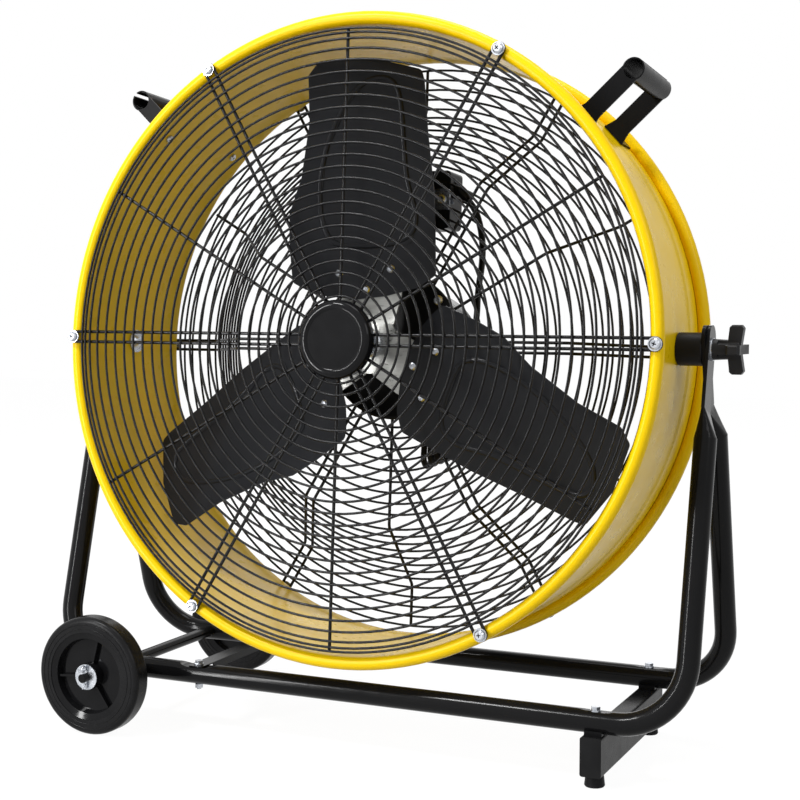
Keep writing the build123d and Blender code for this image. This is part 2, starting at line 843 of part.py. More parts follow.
def foot_pads():
    # Turned rubber feet, a little wider at the floor, with a spigot into the channel.
    seat = foot_pad_h - 0.1
    top = foot_pad_h + 5
    pad = turned([(0, 0), (11.5, 0), (12.5, 1.5), (11, seat), (3, seat), (3, top), (0, top)])
    upright = Rot(90, 0, 0) * pad
    return [Pos(foot_x, y, 0) * upright for y in (-foot_pad_y, foot_pad_y)]


def cross_brace():
    # Inverted channel whose top runs on as flat tabs in the dents of the tubes.
    z0 = brace_dent_z + 0.2
    wall = 2.0
    outer = Rectangle(brace_w, brace_h) - Pos(0, -wall) * Rectangle(brace_w - 2 * wall, brace_h)
    channel = Pos(brace_x, 0, z0 + wall - brace_h / 2) * extrude(Plane.XZ * outer, leg_spread - 20, both=True)
    end = leg_spread + 11
    tab = block((brace_x - brace_w / 2, brace_x + brace_w / 2), (-end, end), (z0, z0 + wall))
    body = channel + fillet(tab.edges().filter_by(Axis.Z), 4)
    for y in (-leg_spread, leg_spread):
        body -= Pos(brace_x, y, z0) * rod_z(frame_bolt_r + 0.2, -5, 10)
    return body


def frame_bolt(z_seat, z_nut):
    # Hexagon bolt from above with a washer under its head and a nut below.
    head = Pos(0, 0, z_seat + 1.6) * hexagon(10, 4)
    washer = rod_z(6.5, z_seat, z_seat + 1.6)
    nut = Pos(0, 0, z_nut - 5) * hexagon(10, 5)
    return head + washer + nut + rod_z(frame_bolt_r, z_nut - 7, z_seat + 1.6)


def frame_bolts():
    bolts = []
    for y in (-leg_spread, leg_spread):
        bolts.append(Pos(brace_x, y, 0) * frame_bolt(brace_dent_z + 2.3, tube_z - tube_d / 2 - 0.1))
        bolts.append(Pos(foot_x, y, 0) * frame_bolt(foot_dent_z + 0.1, foot_top - 2.1))
    return bolts


# Wheels and axle

def axle():
    end = wheel_y + wheel_w / 2 + 12
    body = turned([(0, -end), (axle_r - 1, -end), (axle_r, -end + 1), (axle_r, end - 1), (axle_r - 1, end), (0, end)])
    for y in (-end + 5, end - 5):
        body -= Pos(0, y, 0) * rod_z(1.7, -10, 10)
    return Pos(axle_x, 0, axle_z) * body


def axle_sleeves():
    # One long sleeve between the tubes and a short one outside each tube.
    inner = leg_spread - tube_d / 2 - 1
    outer = leg_spread + tube_d / 2 + 1
    wheel_in = wheel_y - wheel_w / 2 - 1.5
    long = rod_y(8, -inner, inner, bore=axle_r + 0.1)
    short = rod_y(9, outer, wheel_in, bore=axle_r + 0.1)
    return [Pos(axle_x, 0, axle_z) * s for s in (long, short, mirror(short, Plane.XZ))]


def wheel_at(shape, side):
    turned_out = shape if side > 0 else mirror(shape, Plane.XZ)
    return Pos(axle_x, side * wheel_y, axle_z) * turned_out


def wheel_tyre():
    # Solid rubber with round shoulders and two fine mould ridges on each face.
    half = wheel_w / 2
    profile = make_face(Polyline((tyre_in, -half), (wheel_r, -half), (wheel_r, half), (tyre_in, half), close=True))
    profile = fillet(profile.vertices().sort_by(Axis.X)[-2:], 7)
    for r in (64.0, 70.0):
        for y in (-half, half):
            profile += Pos(r, y) * Circle(0.7)
    return revolve(profile, Axis.Y)


def wheel_hub():
    # Moulded centre: rim, sunk web with three ribs each side, and a boss on the axle.
    half = wheel_w / 2
    bore = axle_r + 0.08
    web = tyre_in - 11
    body = turned([
        (bore, -half + 1), (17, -half + 1), (18, -3), (web, -3), (web + 2.5, -half + 3), (tyre_in, -half + 1),
        (tyre_in, half - 1), (web + 2.5, half - 3), (web, 3), (18, 3), (17, half - 1), (bore, half - 1),
    ])
    rib = block((17, web + 1), (-half + 6, half - 6), (-1.4, 1.4))
    for r in around(rib, (75, 185, 305)):
        body += r
    return body


def axle_washer():
    return rod_y(17, wheel_w / 2 + 0.3, wheel_w / 2 + 2.3, bore=axle_r + 0.1)


def split_pin():
    # Eye above, two legs bent apart below the axle.
    y = wheel_w / 2 + 7
    shank = Pos(0, y, 0) * rod_z(1.5, -9, 9)
    eye = Pos(0, y, 12) * Rot(0, 90, 0) * Torus(3.2, 1.5)
    leg = Pos(1.6, y, -9) * Rot(0, 30, 0) * rod_z(1.2, -7, 1)
    other = Pos(-1.6, y, -9) * Rot(0, -30, 0) * rod_z(1.2, -7, 1)
    return shank + eye + leg + other


# Mains cord

def cord_route():
    # From the drooping boot over a bend, down past the motor and in behind it.
    return [
        boot_end,
        (95.6, 72.7, 191.6),
        (101.4, 75.0, 179.5),
        (104.5, 81.0, 163.0),
        (103.6, 92.0, 145.0),
        (98.5, 106.5, 126.0),
        (91.0, 122.0, 108.0),
        (82.0, 137.0, 90.0),
        (74.5, 152.5, 72.0),
        (69.5, 165.0, 53.0),
        (64.0, 173.5, 33.0),
        (57.0, 177.2, 13.0),
        (48.0, 178.0, -5.0),
        (42.8, 177.2, -16.5),
        (hank_x0, hank_y - hank_fold, hank_top + cord_d + 13),
        (hank_x0, hank_y - hank_fold, hank_top + cord_d),
    ]


boot_dip = 48.0
boot_len = 20.0
boot_x = box_x[1] + 2.5
boot_end = (
    boot_x + boot_len * math.cos(math.radians(boot_dip)),
    lead_y,
    lead_z - boot_len * math.sin(math.radians(boot_dip)),
)
hank_x0 = 40.0
tail_x = hank_x0 - hank_loops * hank_pitch
tail_y = hank_y + 31.5
tail_z = hank_top + 7.0


def corner_radii(points):
    radii = []
    for a, b, c in zip(points, points[1:], points[2:]):
        before = Vector(*b) - Vector(*a)
        after = Vector(*c) - Vector(*b)
        turn = math.radians(before.get_angle(after))
        radii.append(0.45 * min(before.length, after.length) / math.tan(turn / 2))
    return radii


def mains_cord():
    points = cord_route()
    radii = corner_radii(points)
    path = FilletPolyline(*points, radius=radii)
    tube = swept(path, cord_d)
    section = math.pi * cord_d ** 2 / 4
    print("cord radii", [round(r, 1) for r in radii])
    print("cord length", round(path.length, 1), "volume ratio", round(tube.volume / (section * path.length), 4))
    return tube


def side_step(start, end):
    # Two equal arcs between parallel uprights, the bend of each a small one.
    a, b = Vector(*start), Vector(*end)
    across = b - a
    up = Vector(0, 0, 1 if across.Z > 0 else -1)
    middle = (a + b) * 0.5
    first = TangentArc([a, middle], tangent=up)
    second = TangentArc([b, middle], tangent=-up)
    return [first, second]


def fold(x, z, side, sense):
    # Half a turn from one side of the hank to the other; sense +1 is the top fold.
    a = (x, hank_y + side * hank_fold, z)
    m = (x, hank_y, z + sense * hank_fold)
    b = (x, hank_y - side * hank_fold, z)
    return [ThreePointArc(a, m, b)]


def hank_path():
    # Down the front side, round, and up the back side with a step to the next loop, each loop a little longer.
    z1 = hank_top
    zm = z1 - hank_run / 2
    edges = []
    x = hank_x0
    front = hank_y - hank_fold
    back = hank_y + hank_fold
    edges.append(Line((x, front, z1 + cord_d), (x, front, z1)))
    for i in range(hank_loops):
        z0 = z1 - hank_run - hank_longer * i
        edges += side_step((x, front, z1), (x, hank_y - hank_waist / 2, zm))
        edges += side_step((x, hank_y - hank_waist / 2, zm), (x, front, z0))
        edges += fold(x, z0, -1, -1)
        step = hank_pitch
        waist = (x - step / 2, hank_y + hank_waist / 2, zm)
        edges += side_step((x, back, z0), waist)
        x -= step
        if i < hank_loops - 1:
            edges += side_step(waist, (x, back, z1))
            edges += fold(x, z1, 1, 1)
    edges += side_step(waist, (tail_x, tail_y, tail_z))
    edges.append(Line((tail_x, tail_y, tail_z), (tail_x, tail_y, tail_z + cord_d)))
    return Wire(edges)


def cord_hank():
    path = hank_path()
    tube = swept(path, cord_d)
    section = math.pi * cord_d ** 2 / 4
    print("hank length", round(path.length, 1), "volume ratio", round(tube.volume / (section * path.length), 4))
    print("hank least gap", round(least_gap(path), 2))
    return tube


def least_gap(path):
    # Distance between stretches of the tube further apart along it than two folds.
    n = 700
    points = [tuple(path @ (i / n)) for i in range(n + 1)]
    skip = int(n * 2 * math.pi * hank_fold / path.length)
    best = 1e9
    for i in range(n):
        for j in range(i + skip, n + 1):
            best = min(best, math.dist(points[i], points[j]))
    return best - cord_d


def cord_tie():
    # A flat band round the hank's waist.
    z = hank_top - hank_run / 2
    centre_x = hank_x0 - hank_loops * hank_pitch / 2 + hank_pitch / 4
    length = hank_loops * hank_pitch + cord_d + 2
    width = hank_waist + cord_d + 1.5
    band = RectangleRounded(length + 2.4, width + 2.4, 6) - RectangleRounded(length, width, 4.8)
    return Pos(centre_x, hank_y, z) * extrude(band, 3, both=True)


def strain_relief():
    # A flanged grommet through the wall of the box and a tapered boot that droops with the lead.
    x = box_x[1]
    bore = cord_d / 2 + 0.1
    grommet = Rot(0, 0, -90) * turned([
        (0, x - 6), (7, x - 6), (7, x + 0.05), (10, x + 0.05), (10, x + 3), (0, x + 4.5),
    ])
    boot = Pos(boot_x, 0, 0) * Rot(0, boot_dip, 0) * rod_taper(7.0, 5.6, boot_len)
    inside = rod_x(bore, x - 8, boot_x) + Pos(boot_x, 0, 0) * Rot(0, boot_dip, 0) * rod_x(bore, 0, boot_len + 2)
    inside += Pos(boot_x, 0, 0) * Sphere(bore)
    return Pos(0, lead_y, lead_z) * (grommet + boot - inside)


def rod_taper(r0, r1, length):
    # A cone along X with a ball at its root.
    cone = Rot(0, 0, -90) * turned([(0, 0), (r0, 0), (r1, length), (0, length)])
    return cone + Sphere(r0)


def plug():
    # Moulded plug on the tail of the hank, blades up, with a tapered neck.
    centre = Pos(tail_x, tail_y, tail_z + cord_d)
    neck = loft([Circle(6.5), Pos(0, 0, 16) * Circle(9)])
    body = Pos(0, 0, 16) * extrude(RectangleRounded(24, 22, 5), 24)
    body = fillet(body.edges().group_by(Axis.Z)[-1], 2)
    return centre * (neck + body)


def plug_pins():
    centre = Pos(tail_x, tail_y, tail_z + cord_d + 40.05)
    flat = block((-0.8, 0.8), (-3.2, 3.2), (0, 17))
    round_pin = Pos(0, 6, 0) * rod_z(2.4, 0, 19)
    return [centre * Pos(-6.4, -2, 0) * flat, centre * Pos(6.4, -2, 0) * flat, centre * round_pin]


# Every sub-part, by node name

def solids_of(shape):
    if isinstance(shape, (list, tuple)):
        return [s for one in shape for s in solids_of(one)]
    return list(shape.solids())


def write(name, shape, place=None):
    solids = solids_of(shape)
    if place is not None:
        solids = [place * s for s in solids]
    body = solids[0] if len(solids) == 1 else Compound(solids)
    export_step(body, os.path.join("parts", name + ".step"))


def write_drum():
    front_washers, rear_washers = both_guards(guard_washer())
    front_screws, rear_screws = both_guards(guard_screw())
    pieces = {
        "drum_shell": drum_shell(),
        "front_guard_rim": front_guard_rim(),
        "front_guard_rings": front_guard_rings(),
        "front_guard_wires": front_guard_wires(),
        "guard_washers": front_washers + rear_washers,
        "guard_screws": front_screws + rear_screws + [badge_screw()],
        "badge_cap": badge(),
        "badge_plate": badge_plate(),
        "rear_guard_rings": rear_guard_rings(),
        "rear_guard_wires": rear_guard_wires(),
        "motor_front_plate": motor_front_plate(),
        "motor_housing": motor_housing(),
        "motor_rear_cover": motor_rear_cover(),
        "motor_screws": motor_screws(),
        "motor_stator": motor_stator(),
        "motor_bearings": motor_bearings(),
        "switch_box": switch_box(),
        "switch_cover": switch_cover(),
        "switch_clip": switch_clip(),
        "switch_box_screws": cover_screws() + [clip_screw()],
        "speed_switch": speed_switch(),
        "run_capacitor": run_capacitor(),
        "wiring_conduit": wiring_conduit(),
        "speed_knob": speed_knob(),
        "strain_relief": strain_relief(),
        "mains_cord": mains_cord(),
        "cord_hank": cord_hank(),
        "cord_tie": cord_tie(),
        "plug": plug(),
        "plug_pins": plug_pins(),
        "handle_left": spin(handle(), handle_angles[1]),
        "handle_right": spin(handle(), handle_angles[0]),
        "handle_screws": [spin(s, a) for a in handle_angles for s in handle_screws()],
    }
    for name, shape in pieces.items():
        write(name, shape, drum_frame)


def write_rotor():
    rivets = [rivet(spot) for spot in rivet_spots]
    pieces = {
        "blade_top": spin(blade(), blade_angles[0] - 90),
        "blade_left": spin(blade(), blade_angles[1] - 90),
        "blade_right": spin(blade(), blade_angles[2] - 90),
        "blade_rivets": [spin(r, a - 90) for a in blade_angles for r in rivets],
        "spider": spider(),
        "hub": hub(),
        "motor_shaft": motor_shaft(),
        "motor_core": motor_core(),
    }
    for name, shape in pieces.items():
        write(name, shape, drum_frame)


def write_pivots():
    fixed = {
        "pivot_spacers": pivot_spacer(),
        "pivot_bolts": pivot_bolt(),
    }
    for name, shape in fixed.items():
        write(name, both_sides(shape), pivot_line)
    write("pivot_washers", both_sides(ear_washer()) + both_sides(pivot_backing()), pivot_line)
    left, right = both_sides(tilt_knob())
    write("tilt_knob_left", left, pivot_line)
    write("tilt_knob_right", right, pivot_line)


def write_stand():
    pieces = {
        "stand_tube_front": stand_tube(-1),
        "stand_tube_rear": stand_tube(1),
        "foot_channel": foot_channel(),
        "foot_end_caps": foot_end_caps(),
        "foot_pads": foot_pads(),
        "cross_brace": cross_brace(),
        "frame_bolts": frame_bolts(),
        "axle": axle(),
        "axle_sleeves": axle_sleeves(),
        "wheel_retainers": [wheel_at(piece, s) for piece in (axle_washer(), split_pin()) for s in (-1, 1)],
    }
    for name, shape in pieces.items():
        write(name, shape)
    for name, side in (("wheel_front", -1), ("wheel_rear", 1)):
        write(name + "_tyre", wheel_at(wheel_tyre(), side))
        write(name + "_hub", wheel_at(wheel_hub(), side))


os.makedirs("parts", exist_ok=True)
write_drum()
write_rotor()
write_pivots()
write_stand()
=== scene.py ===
import json
import math

import bmesh
import bpy
from mathutils import Matrix, Vector


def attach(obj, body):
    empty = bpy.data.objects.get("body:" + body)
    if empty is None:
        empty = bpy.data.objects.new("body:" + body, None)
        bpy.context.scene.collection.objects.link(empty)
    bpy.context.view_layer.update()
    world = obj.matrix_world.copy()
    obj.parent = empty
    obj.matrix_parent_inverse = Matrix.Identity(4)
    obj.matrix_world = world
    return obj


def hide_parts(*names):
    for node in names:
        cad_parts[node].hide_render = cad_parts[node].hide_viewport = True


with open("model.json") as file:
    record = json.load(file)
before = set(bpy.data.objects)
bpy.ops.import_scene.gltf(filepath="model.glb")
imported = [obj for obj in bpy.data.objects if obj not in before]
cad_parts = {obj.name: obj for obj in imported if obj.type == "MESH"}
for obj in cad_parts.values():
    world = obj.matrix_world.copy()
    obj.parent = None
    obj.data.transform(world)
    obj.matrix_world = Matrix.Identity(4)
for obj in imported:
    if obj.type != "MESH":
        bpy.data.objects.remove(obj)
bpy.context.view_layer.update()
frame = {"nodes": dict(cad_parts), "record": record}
print("frame loaded:", len(frame["nodes"]), "nodes")

# view, floor and lamps

view = {
    "place": (0.8643, -1.8212, 0.5816),
    "right": (0.90793, 0.41913, 0.0),
    "ahead": (-0.41817, 0.90585, -0.06767),
    "lens": 67.85,
    "sensor": 36.0,
    "clipEnd": 60,
}

stage = {
    "floorSize": 14.0,
    "floorDrop": 0.0005,  # clear of the feet
    "floorRoughness": 0.9,
    "floorGrey": 0.4,
    "shadowShare": 0.2,  # how much of the real shadow the white paper lets through
    "floorGlow": 1.19,
    "worldGrey": 0.9,
    "worldPower": 0.36,
}

lamps = {  # name: (place, aims at, (width, height), power)
    "keyLamp": ((-1.4, -2.2, 3.4), (0, 0, 0.5), (0.9, 0.35), 95),
    "tallStrip": ((-1.9, -2.9, 1.0), (0, 0, 0.8), (0.18, 2.6), 90),
    "softboxRight": ((3.0, -1.4, 2.2), (0, 0, 0.5), (1.4, 1.4), 20),
    "softboxTop": ((0.2, 0.2, 3.4), (0, 0, 0.5), (2.0, 1.0), 42),
    "softboxBack": ((-0.8, 3.2, 1.8), (0, 0, 0.5), (1.6, 1.6), 14),
}


def placeCamera():
    cam = bpy.data.objects.new("camera", bpy.data.cameras.new("camera"))
    bpy.context.scene.collection.objects.link(cam)
    right = Vector(view["right"]).normalized()
    back = -Vector(view["ahead"]).normalized()
    up = back.cross(right).normalized()
    turn = Matrix((right, up, back)).transposed().to_4x4()
    cam.matrix_world = Matrix.Translation(view["place"]) @ turn
    cam.data.lens = view["lens"]
    cam.data.sensor_width = view["sensor"]
    cam.data.clip_end = view["clipEnd"]
    bpy.context.scene.camera = cam


def addLamp(name, place, aim, size, power):
    lamp = bpy.data.objects.new(name, bpy.data.lights.new(name, "AREA"))
    lamp.data.shape = "RECTANGLE"
    lamp.data.size, lamp.data.size_y = size
    lamp.data.energy = power
    lamp.location = place
    lamp.visible_camera = False
    toward = Vector(aim) - Vector(place)
    lamp.rotation_euler = toward.to_track_quat("-Z", "Y").to_euler()
    bpy.context.scene.collection.objects.link(lamp)


def seenDirectly(nodes, links):
    # 1 where the lens, a gloss or a clear piece looks straight at the backdrop
    path = nodes.new("ShaderNodeLightPath")
    total = path.outputs["Is Camera Ray"]
    for name in ("Is Glossy Ray", "Is Transmission Ray"):
        both = nodes.new("ShaderNodeMath")
        both.operation = "MAXIMUM"
        links.new(total, both.inputs[0])
        links.new(path.outputs[name], both.inputs[1])
        total = both.outputs[0]
    return total


def makeWorld():
    world = bpy.data.worlds.new("studio")
    bpy.context.scene.world = world
    world.use_nodes = True
    nodes, links = world.node_tree.nodes, world.node_tree.links
    plain = nodes["Background"]
    plain.inputs["Color"].default_value = (stage["worldGrey"],) * 3 + (1,)
    plain.inputs["Strength"].default_value = stage["worldPower"]
    white = nodes.new("ShaderNodeBackground")
    white.inputs["Color"].default_value = (1, 1, 1, 1)
    mix = nodes.new("ShaderNodeMixShader")
    links.new(seenDirectly(nodes, links), mix.inputs[0])
    links.new(plain.outputs[0], mix.inputs[1])
    links.new(white.outputs[0], mix.inputs[2])
    links.new(mix.outputs[0], nodes["World Output"].inputs["Surface"])


def makeFloor():
    bm = bmesh.new()
    bmesh.ops.create_grid(bm, x_segments=1, y_segments=1, size=stage["floorSize"] / 2)
    bmesh.ops.translate(bm, verts=bm.verts, vec=(0, 0, -stage["floorDrop"]))
    mesh = bpy.data.meshes.new("floor")
    bm.to_mesh(mesh)
    bm.free()
    floor = bpy.data.objects.new("floor", mesh)
    bpy.context.scene.collection.objects.link(floor)
    mat = bpy.data.materials.new("floorPaper")
    mat.use_nodes = True
    nodes, links = mat.node_tree.nodes, mat.node_tree.links
    paper = nodes["Principled BSDF"]
    paper.inputs["Base Color"].default_value = (stage["floorGrey"],) * 3 + (1,)
    paper.inputs["Roughness"].default_value = stage["floorRoughness"]
    glow = nodes.new("ShaderNodeEmission")
    glow.inputs["Strength"].default_value = stage["floorGlow"]
    share = nodes.new("ShaderNodeMath")
    share.operation = "MULTIPLY"
    share.inputs[1].default_value = 1 - stage["shadowShare"]
    mix = nodes.new("ShaderNodeMixShader")
    links.new(seenDirectly(nodes, links), share.inputs[0])
    links.new(share.outputs[0], mix.inputs[0])
    links.new(paper.outputs[0], mix.inputs[1])
    links.new(glow.outputs[0], mix.inputs[2])
    links.new(mix.outputs[0], nodes["Material Output"].inputs["Surface"])
    mesh.materials.append(mat)


bpy.context.scene.view_settings.view_transform = "Standard"
placeCamera()
makeWorld()
makeFloor()
for name, setup in lamps.items():
    addLamp(name, *setup)
print("stage and camera set")

# finishes


class Val:
    # one value in a material, so that shader maths reads as plain arithmetic
    def __init__(self, look, socket):
        self.look = look
        self.socket = socket

    def math(self, operation, other):
        return self.look.add("ShaderNodeMath", {"operation": operation}, {0: self, 1: other})

    def __add__(self, other):
        return self.math("ADD", other)

    def __mul__(self, other):
        return self.math("MULTIPLY", other)

    __radd__ = __add__
    __rmul__ = __mul__


class Look:
    # a material under its principled shader
    def __init__(self, name):
        self.mat = bpy.data.materials.new(name)
        self.mat.use_nodes = True
        self.tree = self.mat.node_tree
        self.shader = self.tree.nodes["Principled BSDF"]
        self.place = Val(self, self.tree.nodes.new("ShaderNodeTexCoord").outputs["Object"])

    def join(self, value, socket):
        if isinstance(value, Val):
            self.tree.links.new(value.socket, socket)
        elif isinstance(value, (tuple, list)) and len(value) == 3 and socket.type == "RGBA":
            socket.default_value = (*value, 1)
        else:
            socket.default_value = value

    def add(self, kind, settings, values, out=0):
        # a node by its type, its settings first, then what its sockets take
        node = self.tree.nodes.new(kind)
        for key, value in settings.items():
            setattr(node, key, value)
        for key, value in values.items():
            self.join(value, node.inputs[key])
        return Val(self, node.outputs[out])

    def set(self, **values):
        # surface values by the socket's name, with an underscore for a space
        for key, value in values.items():
            self.join(value, self.shader.inputs[key.replace("_", " ")])

    def noise(self, scale, detail, vector=None):
        values = {"Vector": vector or self.place, "Scale": scale, "Detail": detail}
        return self.add("ShaderNodeTexNoise", {}, values)

    def stretched(self, x, y, z):
        return self.add("ShaderNodeMapping", {}, {"Vector": self.place, "Scale": (x, y, z)})

    def spread(self, value, band, start=0.0, end=1.0):
        # the band of values brought to run from start to end
        low, high = band
        values = {"Value": value, "From Min": low, "From Max": high, "To Min": start, "To Max": end}
        return self.add("ShaderNodeMapRange", {}, values)

    def blend(self, factor, a, b):
        # the mix node's colour sockets are its seventh and eighth, and its third output
        values = {0: factor, 6: a, 7: b}
        return self.add("ShaderNodeMix", {"data_type": "RGBA"}, values, out=2)

    def bump(self, height, strength, distance):
        values = {"Height": height, "Strength": strength, "Distance": distance}
        self.join(self.add("ShaderNodeBump", {}, values), self.shader.inputs["Normal"])


paint = {
    "yellow": (0.93, 0.62, 0.001),
    "yellowDeep": (0.90, 0.585, 0.001),
    "black": (0.0055, 0.0055, 0.006),
    "blackWorn": (0.0085, 0.0085, 0.009),
    "blade": (0.011, 0.0115, 0.013),
    "bladeDust": (0.017, 0.0175, 0.02),
    "wire": (0.006, 0.006, 0.007),
    "rubber": (0.008, 0.008, 0.0085),
    "plastic": (0.009, 0.009, 0.0095),
    "knob": (0.019, 0.019, 0.02),
    "moulding": (0.005, 0.005, 0.0055),
    "zinc": (0.60, 0.62, 0.66),
    "zincDark": (0.30, 0.32, 0.35),
    "sheetZinc": (0.42, 0.42, 0.40),
    "sheetDark": (0.30, 0.30, 0.285),
    # painted shade: the dark inside a screw head's cross recess, standing in for the shadow there
    "recess": (0.02, 0.02, 0.022),
    "core": (0.3, 0.3, 0.31),
    "coreDark": (0.18, 0.18, 0.19),
    "brass": (0.72, 0.53, 0.22),
    "brassDark": (0.5, 0.36, 0.14),
}

powderCoat = {
    "cloud": (6, 4),  # noise scale and detail
    "rubbed": (40, 3),
    "band": (0.3, 0.7),
    "roughnessShare": 0.15,
    "skinDetail": 2,
    "skinStrength": 0.25,
}

plating = {
    "crystals": 130,
    "drawnOut": 6,
    "streakDetail": 2,
    "toneBand": (0.2, 0.8),
    "roughnessBand": (0.3, 0.7),
    "smoothest": 0.8,
    "roughest": 1.25,
    "streakStrength": 0.2,
    "streakDepth": 0.00003,
}

moulding = {
    "cloud": (25, 3),
    "cloudBand": (0.35, 0.75),
    "lighter": 1.6,
    "sheen": (90, 2),
    "sheenBand": (0.3, 0.7),
    "roughnessShare": 0.1,
    "grainDetail": 3,
    "grainStrength": 0.4,
}


def paintedLook(name, colour, second, roughness, specular, skin=900, skinDepth=0.00004):
    # powder coat: faint mottling, a fine orange-peel skin and a few dull rubbed patches
    look = Look(name)
    mottled = look.spread(look.noise(*powderCoat["cloud"]), powderCoat["band"])
    look.set(Base_Color=look.blend(mottled, colour, second))
    least = roughness * (1 - powderCoat["roughnessShare"])
    most = roughness * (1 + powderCoat["roughnessShare"])
    rubbed = look.spread(look.noise(*powderCoat["rubbed"]), powderCoat["band"], least, most)
    look.set(Roughness=rubbed, Specular_IOR_Level=specular)
    look.bump(look.noise(skin, powderCoat["skinDetail"]), powderCoat["skinStrength"], skinDepth)
    return look.mat


def metalLook(name, bright, dark, roughness, patch=0.5, drawn=300):
    # plated or turned metal: drawn streaks and a crystalline patchiness
    look = Look(name)
    patches = look.add("ShaderNodeTexVoronoi", {}, {"Vector": look.place, "Scale": plating["crystals"]})
    along = look.stretched(1, 1, plating["drawnOut"])
    streaks = look.noise(drawn, plating["streakDetail"], along)
    tone = look.spread(patches * patch + streaks * (1 - patch), plating["toneBand"])
    look.set(Base_Color=look.blend(tone, dark, bright), Metallic=1.0)
    least, most = roughness * plating["smoothest"], roughness * plating["roughest"]
    look.set(Roughness=look.spread(streaks, plating["roughnessBand"], least, most))
    look.bump(streaks, plating["streakStrength"], plating["streakDepth"])
    return look.mat


def mouldedLook(name, colour, roughness, specular, depth=0.00008, grain=700):
    # moulded plastic or rubber: fine spark-eroded texture
    look = Look(name)
    lighter = tuple(channel * moulding["lighter"] for channel in colour)
    clouded = look.spread(look.noise(*moulding["cloud"]), moulding["cloudBand"])
    look.set(Base_Color=look.blend(clouded, colour, lighter))
    least = roughness * (1 - moulding["roughnessShare"])
    most = roughness * (1 + moulding["roughnessShare"])
    look.set(Roughness=look.spread(look.noise(*moulding["sheen"]), moulding["sheenBand"], least, most))
    look.set(Specular_IOR_Level=specular)
    look.bump(look.noise(grain, moulding["grainDetail"]), moulding["grainStrength"], depth)
    return look.mat


def blackCoat(name, roughness, specular, colour="black"):
    return paintedLook(name, paint[colour], paint["blackWorn"], roughness, specular)


looks = {  # by the record's material slots
    "yellow_paint": paintedLook(
        "yellowPowderCoat", paint["yellow"], paint["yellowDeep"], 0.3, 0.16, skin=500, skinDepth=0.00001
    ),
    "black_tube_paint": blackCoat("glossBlackTube", 0.15, 0.1),
    "black_wire_coat": blackCoat("blackWireCoat", 0.2, 0.16, "wire"),
    "blade_coat": paintedLook("bladeCoat", paint["blade"], paint["bladeDust"], 0.18, 0.13, skin=1400),
    "motor_paint": blackCoat("motorEnamel", 0.3, 0.08),
    "zinc": metalLook("zincPlate", paint["zinc"], paint["zincDark"], 0.28),
    "galvanised": metalLook(
        "galvanisedSheet", paint["sheetZinc"], paint["sheetDark"], 0.32, patch=0.2, drawn=60
    ),
    "steel": metalLook("turnedSteel", paint["zinc"], paint["zincDark"], 0.25),
    "core_steel": metalLook("coreSteel", paint["core"], paint["coreDark"], 0.5),
    "black_plastic": mouldedLook("blackPlastic", paint["plastic"], 0.34, 0.08),
    "rubber": mouldedLook("footRubber", paint["rubber"], 0.5, 0.08),
    "tyre_rubber": mouldedLook("tyreRubber", paint["rubber"], 0.28, 0.1, 0.00004),
    "cord_rubber": mouldedLook("cordRubber", paint["rubber"], 0.36, 0.08),
    "brass": metalLook("pinBrass", paint["brass"], paint["brassDark"], 0.28),
}

# painted shade: a dark matte finish lining the screws' cross recesses in place of their shadow
paintedRecessShade = mouldedLook("recessShade", paint["recess"], 0.6, 0.02)
knobLook = mouldedLook("grainedKnob", paint["knob"], 0.4, 0.12)
glossMoulding = mouldedLook("glossMoulding", paint["moulding"], 0.09, 0.12, 0.000004)
flatTube = blackCoat("flatBlackTube", 0.28, 0.05)

ownLooks = {  # where a piece's finish differs from the rest of its slot
    "badge_plate": glossMoulding,
    "badge_cap": glossMoulding,
    "wheel_front_hub": glossMoulding,
    "wheel_rear_hub": glossMoulding,
    "tilt_knob_left": knobLook,
    "tilt_knob_right": knobLook,
    "foot_channel": flatTube,
    "handle_left": flatTube,
    "handle_right": flatTube,
}

slotOf = {part["node"]: part["material_slot"] for part in frame["record"]["subparts"]}
bodies = frame["record"]["behaviour"]["bodies"]
bodyOf = {node: body for body, nodes in bodies.items() for node in nodes}


def dress(mesh, node):
    mesh.materials.clear()
    mesh.materials.append(ownLooks.get(node, looks[slotOf[node]]))


for node in slotOf:
    dress(frame["nodes"][node].data, node)
print("finishes made:", len(looks))

# every solid's own mesh, smooth where it is round

smoothing = {
    "crease": 32,  # degrees; a sharper edge stays an edge
    "weld": 0.00002,
    "evenness": 80,
    "cordNodes": ("mains_cord", "cord_hank"),  # one piece below stands for both
}


def keepPiece(name, mesh, node):
    # a finished mesh at the origin that takes a node's place
    piece = bpy.data.objects.new(name, mesh)
    bpy.context.scene.collection.objects.link(piece)
    dress(mesh, node)
    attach(piece, bodyOf[node])
    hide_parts(node)
    return piece


def pieceName(node, ending):
    words = node.split("_")
    return words[0] + "".join(word.capitalize() for word in words[1:]) + ending


def smoothPiece(node):
    mesh = frame["nodes"][node].data.copy()
    bm = bmesh.new()
    bm.from_mesh(mesh)
    bmesh.ops.remove_doubles(bm, verts=bm.verts, dist=smoothing["weld"])
    limit = math.radians(smoothing["crease"])
    for face in bm.faces:
        face.smooth = True
    for edge in bm.edges:
        edge.smooth = edge.calc_face_angle(math.pi) < limit
    bm.to_mesh(mesh)
    bm.free()
    piece = keepPiece(pieceName(node, "Smooth"), mesh, node)
    even = piece.modifiers.new("evenNormals", "WEIGHTED_NORMAL")
    even.keep_sharp = True
    even.weight = smoothing["evenness"]
    return piece


smooth = {node: smoothPiece(node) for node in frame["nodes"] if node not in smoothing["cordNodes"]}
print("smooth pieces made:", len(smooth))

# details in the drum's own frame

pivotZ = 0.519
drumTilt = math.radians(4.2)
drumOffset = -0.0081
drumFrame = (
    Matrix.Translation((0, 0, pivotZ))
    @ Matrix.Rotation(-drumTilt, 4, "X")
    @ Matrix.Translation((0, drumOffset, 0))
)

